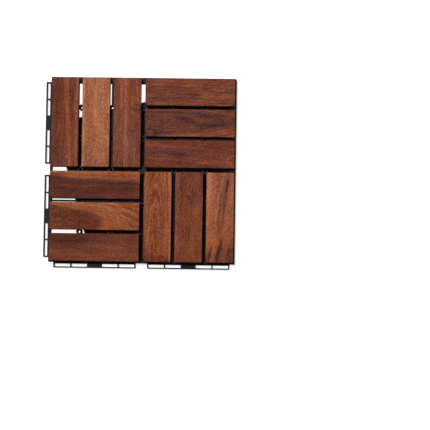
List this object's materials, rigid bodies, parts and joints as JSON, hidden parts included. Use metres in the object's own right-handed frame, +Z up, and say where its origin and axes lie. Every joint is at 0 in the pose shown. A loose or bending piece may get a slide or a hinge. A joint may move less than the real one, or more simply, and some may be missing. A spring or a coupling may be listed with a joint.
{
  "type": "interlocking deck tile",
  "caption": "Square interlocking deck tile: hardwood slats laid in turned quarters on a black plastic grid base, with slotted loops on two sides and tongue walls on the others.",
  "frame": {"origin": "on the ground under the middle of the tile, on the underside of the middle foot", "axes": "+Z up, out of the walking surface; the loops are on the -X and -Y sides and the tongue walls on the +X and +Y sides"},
  "size_m": [0.3061, 0.3061, 0.024],
  "materials": {
    "base_plastic": "semi-matt black polypropylene",
    "wood_back_left_inner": "planed and oiled red-brown hardwood",
    "wood_back_left_middle": "planed and oiled red-brown hardwood",
    "wood_back_left_outer": "planed and oiled red-brown hardwood",
    "wood_back_right_inner": "planed and oiled red-brown hardwood",
    "wood_back_right_middle": "planed and oiled red-brown hardwood",
    "wood_back_right_outer": "planed and oiled red-brown hardwood",
    "wood_front_right_inner": "planed and oiled red-brown hardwood",
    "wood_front_right_middle": "planed and oiled red-brown hardwood",
    "wood_front_right_outer": "planed and oiled red-brown hardwood",
    "wood_front_left_inner": "planed and oiled red-brown hardwood",
    "wood_front_left_middle": "planed and oiled red-brown hardwood",
    "wood_front_left_outer": "planed and oiled red-brown hardwood",
    "screw_steel": "plain stainless steel"
  },
  "bodies": {
    "root": {"base_grid": "base_plastic", "slat_back_left_inner": "wood_back_left_inner", "slat_back_left_middle": "wood_back_left_middle", "slat_back_left_outer": "wood_back_left_outer", "slat_back_right_inner": "wood_back_right_inner", "slat_back_right_middle": "wood_back_right_middle", "slat_back_right_outer": "wood_back_right_outer", "slat_front_right_inner": "wood_front_right_inner", "slat_front_right_middle": "wood_front_right_middle", "slat_front_right_outer": "wood_front_right_outer", "slat_front_left_inner": "wood_front_left_inner", "slat_front_left_middle": "wood_front_left_middle", "slat_front_left_outer": "wood_front_left_outer", "screws": "screw_steel"}
  },
  "joints": []
}
